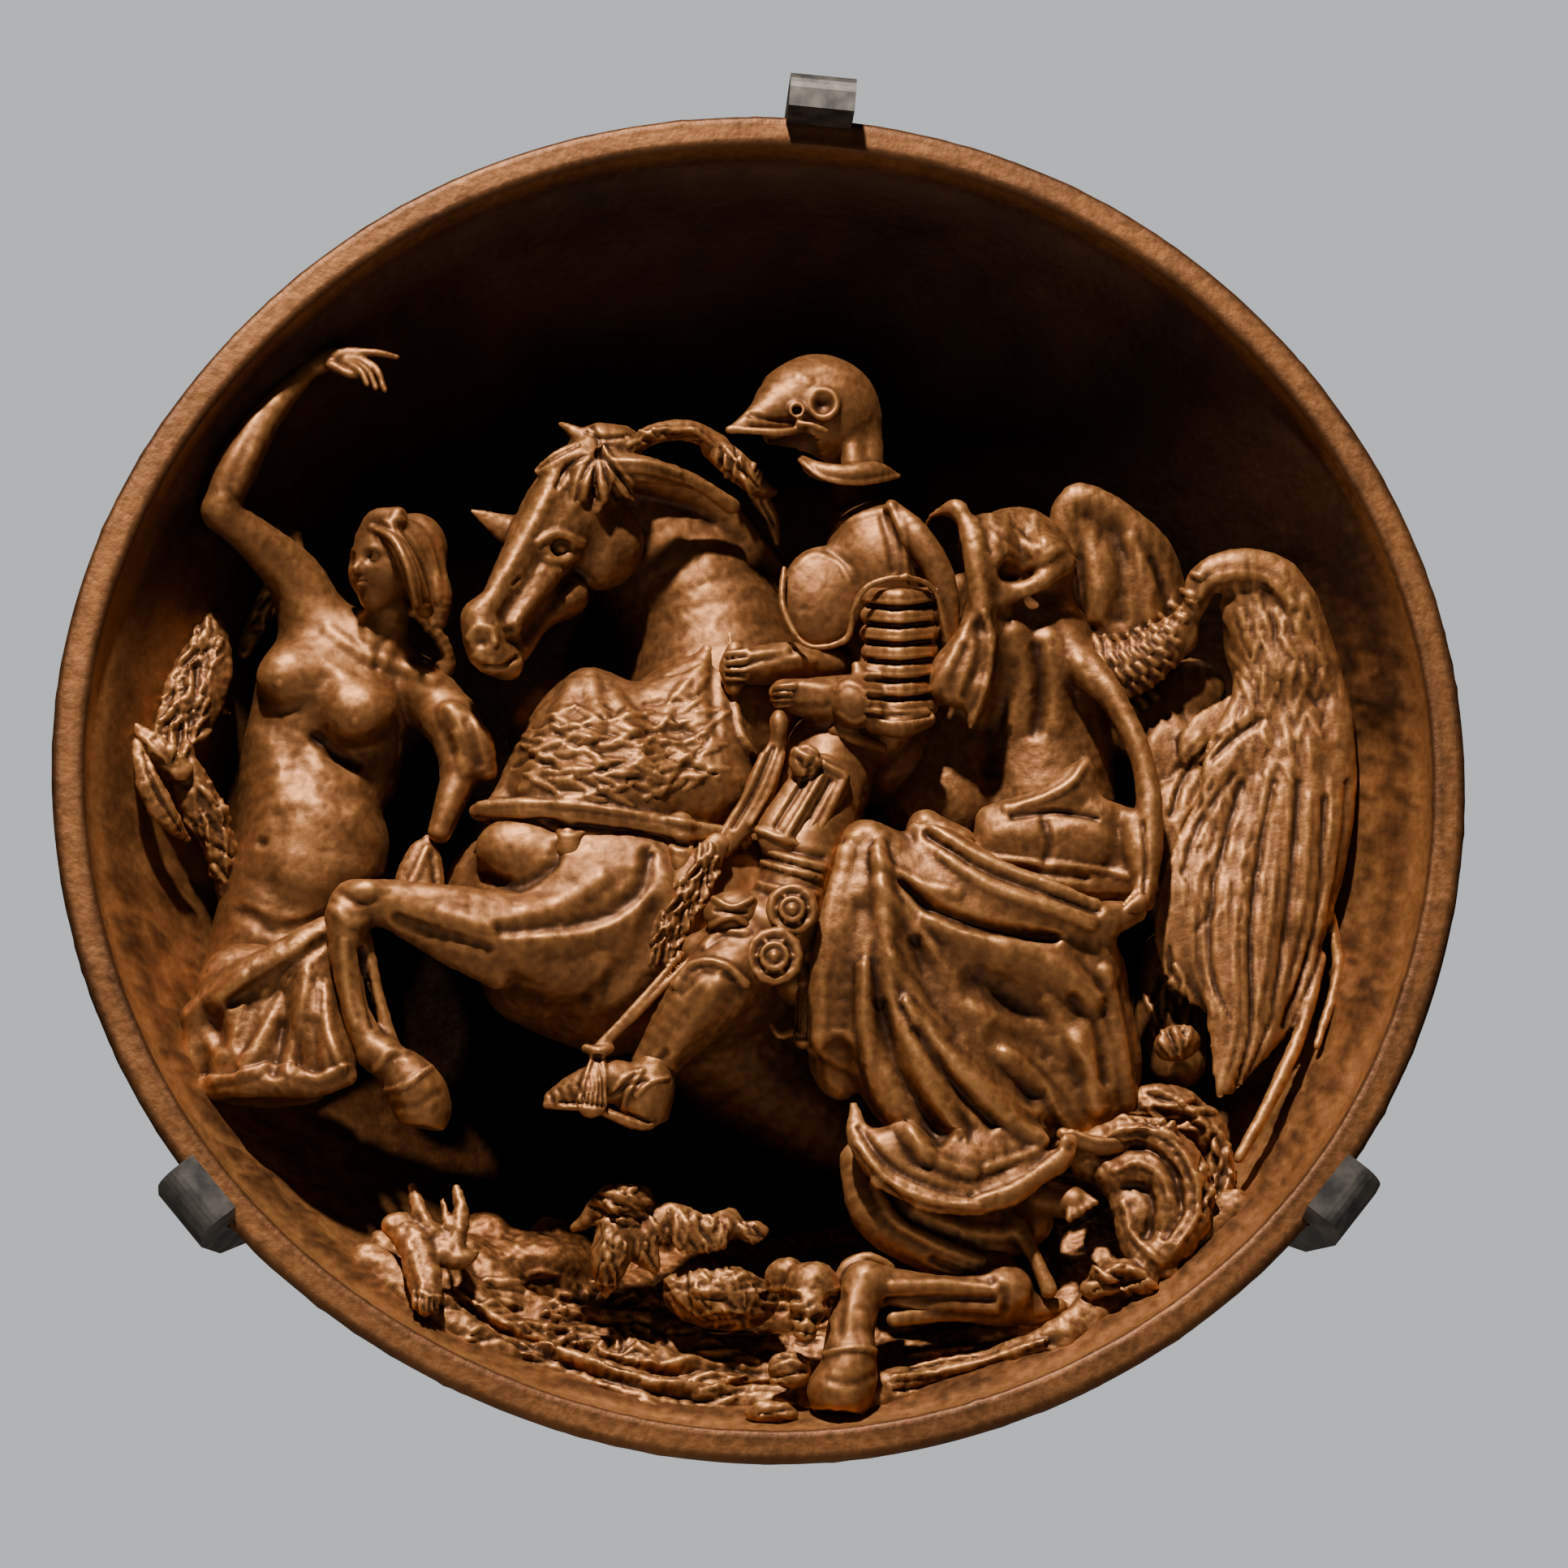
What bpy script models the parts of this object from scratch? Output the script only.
"""A round cast bronze relief plaque: a deep dish with a rider, a horse, a winged hooded figure and a standing
woman in high relief, held at its rim by three steel clips.

Metres, +Z up. The wall is the plane y = 0 and the relief faces -Y. The origin is the middle of the flat back.
"""

import math

import bmesh
import bpy
import numpy as np
from mathutils import Matrix, Vector

# The dish
PLAQUE_RADIUS = 0.2616
PLAQUE_DEPTH = 0.110
BACK_RADIUS = 0.120
RIM_WIDTH = 0.0128
WALL = 0.0075
DISH_STEPS = 80
INSIDE = PLAQUE_RADIUS - RIM_WIDTH
# Shares of the inside radius and depth along the bowl's inner side, and of the outer side's, from the
# middle out
BOWL = [(0.0, 0.0), (0.42, 0.03), (0.60, 0.12), (0.76, 0.30), (0.88, 0.53), (0.96, 0.79)]
OUTSIDE = [(0.0, 0.0), (0.35, 0.13), (0.72, 0.40), (0.93, 0.70)]
HEAP = 0.020

# The clips
CLIP_WIDTH = 0.025
CLIP_THICKNESS = 0.012
LIP_THICKNESS = 0.018
LIP_LAP = 0.0035
CLIP_BEND = 0.008
CLIP_GAP = 0.0003
LEG_GAP = 0.0010
CLIP_ANGLES = {"top_clip": 85.4, "lower_left_clip": 219.5, "lower_right_clip": -37.7}

# The relief's mesh
VOXEL = 0.0028
RELIEF_TRIANGLES = 7000
RING_SIDES = 12

# The drawing that the figures are laid out on: a grid as seen from a little below and to the left of the
# middle, whose middle is the rim's centre and whose units are shares of the plaque's radius.
GRID_RADIUS = 872.0
GRID_MIDDLE = (941.5, 949.0)
GRID_DEPTH = 110.0
UNIT = PLAQUE_RADIUS / GRID_RADIUS
LEVEL = PLAQUE_DEPTH / GRID_DEPTH
EYE_DISTANCE = 11.5 * PLAQUE_RADIUS
EYE_BELOW = math.radians(17.5)
EYE_LEFT = math.radians(3.5)

AIM = Vector(
    (
        math.sin(EYE_LEFT) * math.cos(EYE_BELOW),
        math.cos(EYE_LEFT) * math.cos(EYE_BELOW),
        math.sin(EYE_BELOW),
    )
)
ACROSS = Vector((math.cos(EYE_LEFT), -math.sin(EYE_LEFT), 0.0))
UPWARD = ACROSS.cross(AIM)
RIM_CENTRE = Vector((0.0, -PLAQUE_DEPTH, 0.0))
EYE = RIM_CENTRE - AIM * EYE_DISTANCE
FRONT = Vector((0.0, -1.0, 0.0))


def at(right, down, height):
    """The point seen at (right, down) on the drawing, this share in GRID_DEPTH of the depth off the wall."""
    seen = RIM_CENTRE + ACROSS * (right - GRID_MIDDLE[0]) * UNIT + UPWARD * (GRID_MIDDLE[1] - down) * UNIT
    ray = seen - EYE
    return EYE + ray * ((-height * LEVEL - EYE.y) / ray.y)


def waver(angle):
    """The hand-made outline: the radius at an angle, as a share of a true circle's."""
    broad = 0.0032 * math.sin(2 * angle + 0.6) + 0.0028 * math.sin(3 * angle - 1.2)
    return 1 + broad + 0.0012 * math.sin(7 * angle)


def bowl_depth(radius):
    """How far off the wall the bowl's inner side is at a radius."""
    shares, depths = zip(*BOWL, (1.0, 1.0))
    return WALL + float(np.interp(radius / INSIDE, shares, depths)) * (PLAQUE_DEPTH - WALL)


def smooth_path(points, radii, steps):
    """Points on a Catmull-Rom curve through the given ones, each with its radius."""
    path = np.array([[*point, radius] for point, radius in zip(points, radii)])
    path = np.vstack([2 * path[0] - path[1], path, 2 * path[-1] - path[-2]])
    found = []
    for i in range(1, len(path) - 2):
        before, here, after, beyond = path[i - 1 : i + 3]
        for t in np.arange(steps) / steps:
            bend = 2 * before - 5 * here + 4 * after - beyond
            turn = 3 * here - before - 3 * after + beyond
            found.append(here + 0.5 * ((after - before) * t + bend * t**2 + turn * t**3))
    found.append(path[-2])
    return [Vector(row[:3]) for row in found], [max(float(row[3]), UNIT) for row in found]


def limb(bm, points, radii, flat=1.0, steps=3):
    """Rings along a smooth path with round ends, their radii on the grid, flattened front to back."""
    centres, sizes = smooth_path(points, [radius * UNIT for radius in radii], steps)
    tangents = [(b - a).normalized() for a, b in zip(centres, centres[1:])]
    tangents = [tangents[0]] + [(a + b).normalized() for a, b in zip(tangents, tangents[1:])] + [tangents[-1]]
    cap = [(math.sin(math.radians(a)), math.cos(math.radians(a))) for a in (75, 50, 25)]
    stations = [(centres[0] - tangents[0] * sizes[0] * far, tangents[0], sizes[0] * near) for far, near in cap]
    stations += list(zip(centres, tangents, sizes))
    last, ahead, size = centres[-1], tangents[-1], sizes[-1]
    stations += [(last + ahead * size * far, ahead, size * near) for far, near in cap[::-1]]
    rings = []
    for centre, tangent, size in stations:
        out = FRONT - tangent * tangent.dot(FRONT)
        out = out.normalized() if out.length > 0.2 else tangent.orthogonal().normalized()
        side = tangent.cross(out)
        ring = []
        for k in range(RING_SIDES):
            turn = 2 * math.pi * k / RING_SIDES
            ring.append(bm.verts.new(centre + size * (math.cos(turn) * side + flat * math.sin(turn) * out)))
        rings.append(ring)
    for ring, following in zip(rings, rings[1:]):
        for k in range(RING_SIDES):
            after = (k + 1) % RING_SIDES
            bm.faces.new((ring[k], ring[after], following[after], following[k]))
    bm.faces.new(rings[0][::-1])
    bm.faces.new(rings[-1])


def mass(bm, centre, half_sizes, turn=0.0, lean=0.0):
    """An ellipsoid: half its width, depth and height on the grid, turned clockwise and leaned back."""
    turned = Matrix.Rotation(math.radians(turn), 4, "Y") @ Matrix.Rotation(math.radians(lean), 4, "X")
    scaled = Matrix.Diagonal((*[size * UNIT for size in half_sizes], 1.0))
    matrix = Matrix.Translation(centre) @ turned @ scaled
    bmesh.ops.create_uvsphere(bm, u_segments=16, v_segments=10, radius=1.0, matrix=matrix)


def woman(bm):
    """The standing woman at the left, one arm raised, with the cloth round her legs."""
    hip, belly, waist, chest = at(356, 1140, 58), at(384, 1050, 60), at(370, 950, 60), at(404, 855, 62)
    near_shoulder, far_shoulder, neck = at(388, 766, 62), at(524, 850, 66), at(472, 795, 70)
    limb(bm, [at(310, 1290, 60), hip, belly, waist, chest], [78, 94, 100, 74, 92], flat=0.8)
    limb(bm, [near_shoulder, at(452, 808, 66), far_shoulder], [36, 42, 36])
    mass(bm, at(344, 838, 76), (34, 30, 32))
    mass(bm, at(440, 884, 80), (40, 30, 36))
    limb(bm, [neck, at(480, 745, 76)], [32, 30])
    mass(bm, at(494, 690, 82), (56, 58, 62), turn=12)
    limb(bm, [at(525, 715, 80), at(550, 765, 78), at(546, 815, 74)], [22, 16, 13])
    elbow, wrist, hand = at(270, 632, 88), at(378, 458, 88), at(440, 446, 88)
    limb(bm, [near_shoulder, at(350, 695, 74), elbow], [42, 38, 25])
    limb(bm, [elbow, at(305, 560, 88), wrist], [26, 29, 17])
    limb(bm, [wrist, at(415, 442, 88), hand], [16, 19, 16], flat=0.7)
    for tip in (at(488, 440, 88), at(474, 480, 90), at(462, 474, 92)):
        limb(bm, [hand, tip], [11, 7])
    limb(bm, [far_shoulder, at(570, 925, 74), at(556, 985, 80), at(544, 1020, 82)], [34, 38, 24, 18])
    limb(bm, [at(598, 860, 76), at(618, 925, 74), at(600, 985, 70)], [14, 18, 12], flat=0.5)
    limb(bm, [at(527, 1034, 80), at(520, 1075, 80), at(516, 1110, 80)], [9, 28, 32], flat=0.6)
    # The cloth from her hips to its hem, and the folds on it
    limb(bm, [at(300, 1225, 74), at(330, 1295, 80)], [66, 78], flat=0.75)
    limb(bm, [at(402, 1148, 94), at(345, 1186, 94), at(285, 1220, 90), at(240, 1252, 82)], [22, 24, 22, 15])
    limb(bm, [at(240, 1345, 82), at(330, 1338, 96), at(420, 1325, 102)], [16, 24, 18], flat=0.8)
    limb(bm, [at(390, 1170, 92), at(384, 1240, 94), at(408, 1310, 98)], [20, 26, 26], flat=0.8)


def withered_wing(bm):
    """The ragged growth behind the woman."""
    stem = [at(360, 672, 56), at(340, 735, 55), at(305, 800, 53), at(290, 850, 50)]
    limb(bm, stem, [24, 22, 16, 14], flat=0.7)
    limb(bm, [at(288, 698, 58), at(338, 655, 56)], [6, 9])
    leaf = [at(252, 770, 58), at(246, 830, 62), at(228, 880, 66), at(205, 925, 70)]
    limb(bm, leaf, [24, 42, 38, 26], flat=0.6)
    limb(bm, [at(200, 930, 70), at(246, 990, 69), at(282, 1075, 63)], [22, 28, 22], flat=0.7)
    torn = [at(168, 912, 83), at(185, 965, 85), at(205, 1005, 82), at(235, 1036, 74)]
    limb(bm, torn, [8, 15, 15, 8], flat=0.6)


def horse(bm):
    """The rearing horse: head to the left, one foreleg raised, a hind leg folded at the bottom."""
    poll, muzzle = at(735, 568, 84), at(604, 782, 97)
    limb(bm, [poll, at(698, 630, 88), at(650, 705, 92), muzzle], [48, 60, 48, 38], flat=0.9)
    mass(bm, at(728, 675, 80), (66, 52, 68), turn=-20)
    limb(bm, [at(634, 652, 84), at(584, 632, 88)], [20, 7], flat=0.6)
    limb(bm, [at(655, 580, 98), at(700, 540, 98), at(775, 542, 94)], [13, 26, 18])
    limb(bm, [at(700, 575, 98), at(738, 605, 98)], [20, 18])
    limb(bm, [at(745, 574, 96), at(820, 584, 92), at(900, 622, 80)], [20, 19, 13])
    limb(bm, [at(775, 552, 82), at(830, 536, 80), at(885, 565, 76), at(950, 618, 70)], [14, 18, 24, 14])
    limb(bm, [poll, at(800, 640, 66), at(880, 760, 54), at(900, 900, 52)], [54, 92, 120, 130])
    # The chest under its cloth, the band across it and the muscles below
    limb(bm, [at(728, 872, 74), at(726, 920, 76), at(738, 980, 80)], [48, 82, 118], flat=0.75)
    limb(bm, [at(872, 802, 72), at(862, 880, 76), at(848, 960, 78)], [34, 58, 88], flat=0.75)
    band = [at(596, 1005, 88), at(700, 1010, 98), at(800, 1022, 98), at(905, 1036, 90)]
    limb(bm, band, [18, 24, 24, 20], flat=0.8)
    breast = [at(640, 1115, 70), at(745, 1130, 80), at(850, 1145, 68), at(930, 1165, 50)]
    limb(bm, breast, [94, 148, 148, 130], flat=0.7)
    mass(bm, at(640, 1045, 94), (56, 32, 40))
    limb(bm, [at(640, 1215, 72), at(745, 1245, 70)], [58, 66])
    flank = [at(850, 1205, 52), at(930, 1300, 40), at(1030, 1370, 34), at(1110, 1400, 34)]
    limb(bm, flank, [120, 104, 84, 70], flat=0.7)
    # The raised foreleg
    knee, fetlock = at(438, 1118, 104), at(460, 1296, 100)
    limb(bm, [at(690, 1165, 88), at(600, 1152, 96), at(520, 1126, 102), knee], [72, 52, 38, 35])
    limb(bm, [knee, at(430, 1185, 102), at(444, 1245, 101), fetlock], [34, 25, 22, 28])
    limb(bm, [fetlock, at(505, 1332, 100)], [28, 36])
    limb(bm, [at(500, 1330, 100), at(520, 1366, 98)], [34, 38])
    # The folded hind leg
    hock, hind_fetlock = at(1240, 1590, 80), at(1064, 1584, 92)
    limb(bm, [at(1130, 1500, 66), at(1200, 1550, 70), hock], [54, 42, 36])
    limb(bm, [hock, at(1155, 1592, 90), hind_fetlock], [34, 25, 33])
    limb(bm, [at(1245, 1602, 80), at(1300, 1611, 78)], [28, 18])
    limb(bm, [hind_fetlock, at(1050, 1640, 94), at(1044, 1695, 95)], [30, 32, 42])


def knight(bm):
    """The armoured rider with a brimmed helmet."""
    mass(bm, at(1016, 500, 82), (68, 62, 68), turn=6)
    limb(bm, [at(972, 478, 84), at(940, 508, 92), at(904, 526, 97)], [38, 23, 6], flat=0.8)
    mass(bm, at(1050, 576, 88), (48, 34, 15), turn=6)
    limb(bm, [at(1066, 520, 78), at(1080, 562, 80), at(1100, 587, 86)], [24, 20, 6])
    limb(bm, [at(1024, 540, 68), at(1038, 620, 64)], [42, 54])
    limb(bm, [at(1056, 645, 64), at(1086, 790, 62), at(1076, 925, 60)], [84, 98, 88], flat=0.8)
    mass(bm, at(1088, 700, 80), (76, 64, 86), turn=-10)
    mass(bm, at(1012, 734, 88), (56, 24, 68))
    for k in range(7):
        limb(bm, [at(1070, 738 + 22 * k, 98 - k), at(1144, 736 + 22 * k, 96 - k)], [15, 15], flat=1.1)
    limb(bm, [at(1108, 730, 84), at(1102, 870, 84)], [36, 36])
    elbow = at(1056, 864, 96)
    mass(bm, elbow, (36, 34, 34))
    limb(bm, [elbow, at(1006, 863, 98), at(966, 857, 99)], [30, 27, 18])
    limb(bm, [at(1040, 820, 78), at(965, 818, 84), at(912, 824, 88)], [26, 27, 20])
    limb(bm, [at(1105, 885, 84), at(1060, 915, 82)], [34, 30])
    limb(bm, [at(958, 890, 98), at(944, 950, 97), at(905, 1030, 95)], [14, 18, 12])
    knee, ankle = at(966, 1148, 100), at(798, 1314, 95)
    limb(bm, [at(1024, 935, 82), at(1004, 1010, 90), at(986, 1080, 97), knee], [60, 56, 50, 46])
    limb(bm, [at(1008, 960, 100), at(970, 1025, 102)], [46, 46], flat=0.6)
    mass(bm, at(978, 1121, 109), (34, 22, 34))
    mass(bm, at(956, 1179, 109), (38, 22, 38))
    limb(bm, [knee, at(905, 1198, 102), at(850, 1250, 100), ankle], [48, 54, 44, 29])
    limb(bm, [at(805, 1352, 96), at(750, 1338, 100), at(685, 1350, 100)], [32, 28, 16])
    limb(bm, [at(886, 1042, 100), at(850, 1105, 103), at(815, 1172, 102)], [16, 24, 17])
    limb(bm, [at(838, 1180, 103), at(735, 1292, 104), at(730, 1340, 106)], [9, 9, 17])
    limb(bm, [at(988, 1195, 90), at(988, 1275, 88)], [20, 16])


def hooded_figure(bm):
    """The hooded figure behind the rider, seated, with its cloak swept down to the right."""
    mass(bm, at(1242, 678, 74), (78, 64, 62), turn=12)
    limb(bm, [at(1146, 652, 86), at(1185, 632, 92), at(1204, 690, 96), at(1210, 760, 97)], [12, 15, 15, 15])
    limb(bm, [at(1290, 690, 74), at(1274, 750, 72), at(1296, 802, 72)], [42, 46, 58])
    limb(bm, [at(1210, 745, 92), at(1188, 800, 94), at(1162, 858, 92)], [24, 36, 24], flat=0.7)
    limb(bm, [at(1212, 775, 94), at(1196, 896, 92)], [24, 10])
    limb(bm, [at(1265, 800, 70), at(1280, 905, 62), at(1290, 1010, 72)], [84, 96, 88], flat=0.8)
    limb(bm, [at(1185, 880, 62), at(1165, 1000, 66)], [84, 86], flat=0.8)
    wrist = at(1411, 1112, 88)
    arm = [at(1322, 798, 80), at(1372, 855, 84), at(1408, 935, 87), at(1417, 1020, 88), wrist]
    limb(bm, arm, [27, 21, 18, 18, 14])
    limb(bm, [at(1232, 1002, 90), at(1310, 985, 95), at(1380, 1004, 88)], [12, 17, 14])
    limb(bm, [at(1235, 1040, 92), at(1300, 1042, 95), at(1362, 1048, 88)], [36, 38, 32])
    limb(bm, [at(1136, 1022, 100), at(1225, 1082, 105), at(1320, 1120, 103), wrist], [20, 32, 32, 18], flat=0.8)
    # The thigh, the knee and the skirt that falls from them
    knee = at(1066, 1056, 95)
    limb(bm, [knee, at(1140, 1110, 92), at(1230, 1160, 90), at(1325, 1185, 84)], [46, 70, 80, 64], flat=0.8)
    limb(bm, [knee, at(1056, 1130, 97), at(1048, 1220, 97), at(1060, 1310, 92)], [46, 54, 56, 56], flat=0.85)
    limb(bm, [at(1130, 1180, 94), at(1180, 1290, 90), at(1200, 1380, 86)], [112, 120, 96], flat=0.6)
    limb(bm, [at(1315, 1200, 84), at(1336, 1290, 78), at(1345, 1370, 74)], [80, 76, 54], flat=0.7)
    limb(bm, [at(1080, 1230, 102), at(1115, 1330, 104), at(1180, 1425, 98)], [26, 32, 28])
    limb(bm, [at(1120, 1240, 102), at(1180, 1325, 102), at(1240, 1395, 96)], [24, 26, 26])
    hem = [at(1048, 1380, 96), at(1108, 1450, 99), at(1200, 1474, 99), at(1318, 1405, 92)]
    limb(bm, hem, [30, 36, 32, 14], flat=0.8)
    limb(bm, [at(1062, 1440, 80), at(1120, 1510, 80), at(1200, 1560, 78)], [40, 44, 32], flat=0.8)
    limb(bm, [at(1230, 1505, 74), at(1295, 1485, 80), at(1338, 1482, 88)], [44, 34, 20])


def wings(bm):
    """Its two wings: the far one folded behind the hood, the near one spread down the right side."""
    limb(bm, [at(1330, 625, 62), at(1370, 685, 62), at(1400, 750, 60)], [34, 72, 70], flat=0.5)
    limb(bm, [at(1325, 795, 72), at(1385, 824, 76), at(1455, 768, 78)], [20, 30, 24])
    limb(bm, [at(1390, 870, 58), at(1445, 930, 58), at(1455, 1050, 60)], [54, 60, 48], flat=0.6)
    limb(bm, [at(1478, 742, 78), at(1520, 708, 80), at(1575, 715, 80), at(1612, 790, 78)], [22, 26, 28, 24])
    web = [at(1556, 800, 62), at(1590, 900, 64), at(1585, 1040, 66), at(1540, 1200, 72)]
    limb(bm, web, [62, 80, 84, 72], flat=0.35)
    limb(bm, [at(1644, 850, 74), at(1654, 960, 74), at(1640, 1080, 75), at(1606, 1190, 76)], [18, 20, 20, 14])
    limb(bm, [at(1490, 980, 76), at(1468, 1120, 80), at(1492, 1240, 80)], [26, 48, 16], flat=0.4)
    limb(bm, [at(1560, 1100, 76), at(1545, 1230, 80), at(1506, 1340, 84)], [48, 50, 12], flat=0.4)
    limb(bm, [at(1622, 1200, 78), at(1592, 1300, 83), at(1528, 1425, 90)], [10, 10, 9])


def ground(bm):
    """Heaps of earth round the foot of the bowl, with bones, a hand and a foot that rise out of them."""
    for share, count in ((0.66, 7), (0.76, 9), (0.85, 11)):
        for k in range(count):
            angle = math.radians(-128 + 88 * k / (count - 1))
            radius = share * INSIDE
            off_wall = bowl_depth(radius) + 0.3 * HEAP
            centre = Vector((radius * math.cos(angle), -off_wall, radius * math.sin(angle)))
            size = HEAP / UNIT * (0.62 + 0.14 * math.sin(2.1 * k + 9 * share))
            mass(bm, centre, (1.6 * size, size, 0.8 * size), turn=-math.degrees(angle) - 90)
    limb(bm, [at(738, 1510, 76), at(775, 1480, 80), at(850, 1528, 84), at(935, 1518, 84)], [26, 36, 26, 13])
    limb(bm, [at(775, 1500, 84), at(765, 1570, 88)], [32, 34])
    mass(bm, at(1000, 1586, 94), (36, 34, 34))
    mass(bm, at(968, 1580, 86), (30, 28, 31))
    limb(bm, [at(998, 1612, 98), at(990, 1642, 100)], [24, 16])
    limb(bm, [at(495, 1518, 86), at(516, 1560, 94), at(526, 1612, 100)], [18, 23, 17], flat=0.8)
    limb(bm, [at(562, 1466, 84), at(568, 1510, 88), at(545, 1548, 90)], [8, 13, 16])
    limb(bm, [at(508, 1464, 84), at(525, 1510, 88), at(545, 1545, 90)], [8, 11, 15])
    # The swirl of drapery and rock at the lower right
    swirl = [at(1335, 1405, 84), at(1400, 1388, 88), at(1466, 1432, 90), at(1478, 1492, 91), at(1428, 1552, 91)]
    limb(bm, swirl, [24, 28, 26, 24, 20])
    limb(bm, [at(1378, 1442, 88), at(1430, 1442, 90), at(1440, 1490, 89)], [18, 24, 24])
    limb(bm, [at(1440, 1190, 60), at(1442, 1255, 64), at(1450, 1310, 64)], [42, 52, 44], flat=0.8)
    mass(bm, at(1450, 1365, 78), (56, 28, 30))


def bronze_relief(collection):
    """All the figures, worked into one skin."""
    bm = bmesh.new()
    for figure in (woman, withered_wing, horse, knight, hooded_figure, wings, ground):
        figure(bm)
    relief = add_object("relief", bm, collection)
    remesh = relief.modifiers.new("One skin", "REMESH")
    remesh.mode = "VOXEL"
    remesh.voxel_size = VOXEL
    soften = relief.modifiers.new("Soften", "SMOOTH")
    soften.iterations = 2
    apply_modifiers(relief)
    thin = relief.modifiers.new("Fewer faces", "DECIMATE")
    thin.ratio = RELIEF_TRIANGLES / (2 * len(relief.data.polygons))
    apply_modifiers(relief)
    return relief


def outer_side():
    """The dish's outer side as (radius, depth) from below the rim down towards the back."""
    start = BACK_RADIUS + WALL
    return [(start + share * (PLAQUE_RADIUS - start), deep * PLAQUE_DEPTH) for share, deep in OUTSIDE[:0:-1]]


def dish(collection):
    """The dish, turned from its profile and then given its hand-made outline."""
    rim_round = 0.15 * RIM_WIDTH
    profile = [(share * INSIDE, bowl_depth(share * INSIDE)) for share, _ in BOWL]
    profile += [(INSIDE, PLAQUE_DEPTH - rim_round), (INSIDE + rim_round, PLAQUE_DEPTH)]
    profile += [(PLAQUE_RADIUS - rim_round, PLAQUE_DEPTH), (PLAQUE_RADIUS, PLAQUE_DEPTH - rim_round)]
    profile += outer_side() + [(BACK_RADIUS, 0.0), (0.0, 0.0)]
    mesh = bpy.data.meshes.new("dish")
    corners = [(radius, -height, 0.0) for radius, height in profile[::-1]]
    mesh.from_pydata(corners, [(k, k + 1) for k in range(len(corners) - 1)], [])
    turned = bpy.data.objects.new("dish", mesh)
    collection.objects.link(turned)
    screw = turned.modifiers.new("Turn", "SCREW")
    screw.axis = "Y"
    screw.steps = screw.render_steps = DISH_STEPS
    screw.use_merge_vertices = True
    screw.merge_threshold = 0.00005
    apply_modifiers(turned)
    for vertex in turned.data.vertices:
        share = waver(math.atan2(vertex.co.z, vertex.co.x))
        vertex.co.x *= share
        vertex.co.z *= share
    bm = bmesh.new()
    bm.from_mesh(turned.data)
    bmesh.ops.recalc_face_normals(bm, faces=bm.faces)
    bm.to_mesh(turned.data)
    bm.free()
    return turned


def add_object(name, bm, collection):
    mesh = bpy.data.meshes.new(name)
    bmesh.ops.recalc_face_normals(bm, faces=bm.faces)
    bm.to_mesh(mesh)
    bm.free()
    made = bpy.data.objects.new(name, mesh)
    collection.objects.link(made)
    return made


def apply_modifiers(obj):
    """Replace the object's mesh by the evaluated one."""
    bpy.context.view_layer.update()
    evaluated = obj.evaluated_get(bpy.context.evaluated_depsgraph_get())
    mesh = bpy.data.meshes.new_from_object(evaluated)
    obj.modifiers.clear()
    obj.data = mesh


def open_pinches(bm):
    """Where the skin touches itself along an edge, cut out the points there and close each side on its own."""
    for _ in range(4):
        pinched = {vertex for edge in bm.edges if len(edge.link_faces) != 2 for vertex in edge.verts}
        if not pinched:
            return
        bmesh.ops.delete(bm, geom=list(pinched), context="VERTS")
        rims = [edge for edge in bm.edges if len(edge.link_faces) == 1]
        filled = bmesh.ops.holes_fill(bm, edges=rims, sides=0)
        bmesh.ops.triangulate(bm, faces=filled["faces"])


def keep_largest_shell(obj):
    """Drop the skins of closed hollows left where the figures meet the dish, and any loose crumb."""
    bm = bmesh.new()
    bm.from_mesh(obj.data)
    open_pinches(bm)
    left = set(bm.verts)
    shells = []
    while left:
        shell, edge = set(), [left.pop()]
        while edge:
            vertex = edge.pop()
            shell.add(vertex)
            for other in (link.other_vert(vertex) for link in vertex.link_edges):
                if other in left:
                    left.discard(other)
                    edge.append(other)
        shells.append(shell)
    largest = max(shells, key=len)
    bmesh.ops.delete(bm, geom=[vertex for vertex in bm.verts if vertex not in largest], context="VERTS")
    bm.to_mesh(obj.data)
    bm.free()


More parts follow.
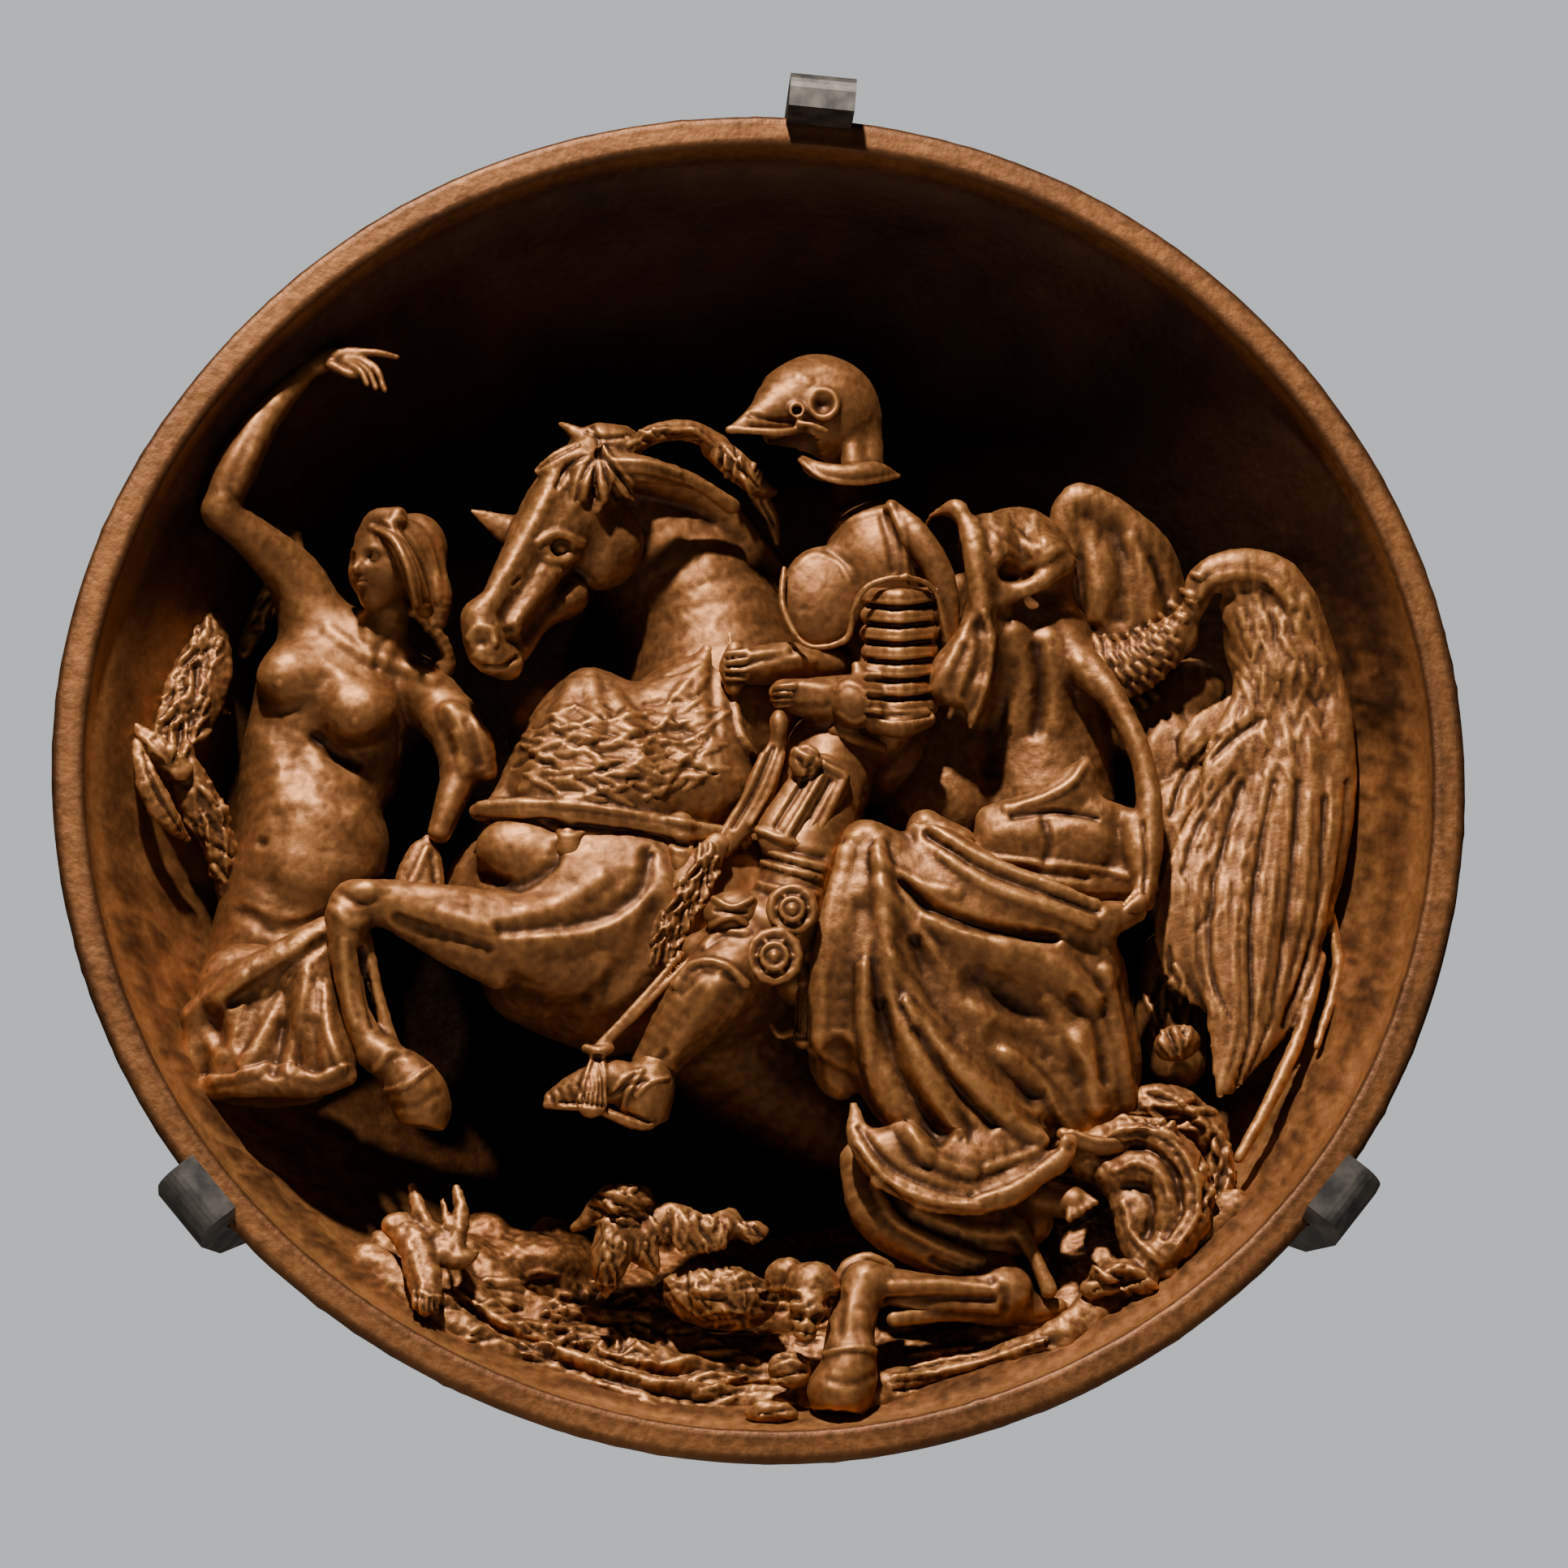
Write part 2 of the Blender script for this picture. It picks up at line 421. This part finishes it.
def clip(name, angle, collection):
    """A steel bar out from the wall along the dish's outer side, bent over the rim as a lip, at an angle
    from +X towards +Z."""
    wide = waver(math.radians(angle))
    inner = PLAQUE_RADIUS * wide + CLIP_GAP
    outer = inner + CLIP_THICKNESS
    # The leg leaves the dish where its outer side turns in towards the back, and runs straight to the wall
    leg = [(radius * wide + LEG_GAP, deep) for radius, deep in outer_side()[:2]]
    leg.append((leg[-1][0], 0.0))
    back = PLAQUE_DEPTH + CLIP_GAP
    front = back + LIP_THICKNESS
    tip = inner - CLIP_GAP - LIP_LAP
    outline = leg[::-1] + [(inner, PLAQUE_DEPTH - 0.15 * RIM_WIDTH), (inner, back), (tip, back), (tip, front)]
    for k in range(7):
        turn = math.radians(90 - 15 * k)
        outline.append((outer - CLIP_BEND * (1 - math.cos(turn)), front - CLIP_BEND * (1 - math.sin(turn))))
    outline.append((outer, PLAQUE_DEPTH - 0.15 * RIM_WIDTH))
    outline += [(radius + CLIP_THICKNESS, deep) for radius, deep in leg]
    curve = bpy.data.curves.new(name, "CURVE")
    curve.dimensions = "2D"
    curve.fill_mode = "BOTH"
    curve.extrude = CLIP_WIDTH / 2
    spline = curve.splines.new("POLY")
    spline.points.add(len(outline) - 1)
    for point, (radius, height) in zip(spline.points, outline):
        point.co = (radius, -height, 0.0, 1.0)
    spline.use_cyclic_u = True
    bar = bpy.data.objects.new(name, curve)
    collection.objects.link(bar)
    bar.rotation_euler = (0.0, -math.radians(angle), 0.0)
    return bar


def material(name, colour, roughness, metallic):
    made = bpy.data.materials.new(name)
    made.use_nodes = True
    shader = made.node_tree.nodes["Principled BSDF"]
    shader.inputs["Base Color"].default_value = (*colour, 1.0)
    shader.inputs["Roughness"].default_value = roughness
    shader.inputs["Metallic"].default_value = metallic
    return made


def main():
    for old in list(bpy.data.objects):
        bpy.data.objects.remove(old)
    parts = bpy.data.collections.new("relief plaque")
    bpy.context.scene.collection.children.link(parts)

    plaque = dish(parts)
    relief = bronze_relief(parts)
    union = plaque.modifiers.new("Cast in one", "BOOLEAN")
    union.operation = "UNION"
    union.solver = "EXACT"
    union.object = relief
    apply_modifiers(plaque)
    bpy.data.objects.remove(relief)
    keep_largest_shell(plaque)
    plaque.name = "relief_plaque"
    plaque.data.materials.clear()
    plaque.data.materials.append(material("bronze", (0.28, 0.15, 0.07), 0.42, 0.9))

    steel = material("clip steel", (0.10, 0.10, 0.11), 0.45, 0.9)
    for name, angle in CLIP_ANGLES.items():
        clip(name, angle, parts).data.materials.append(steel)


main()
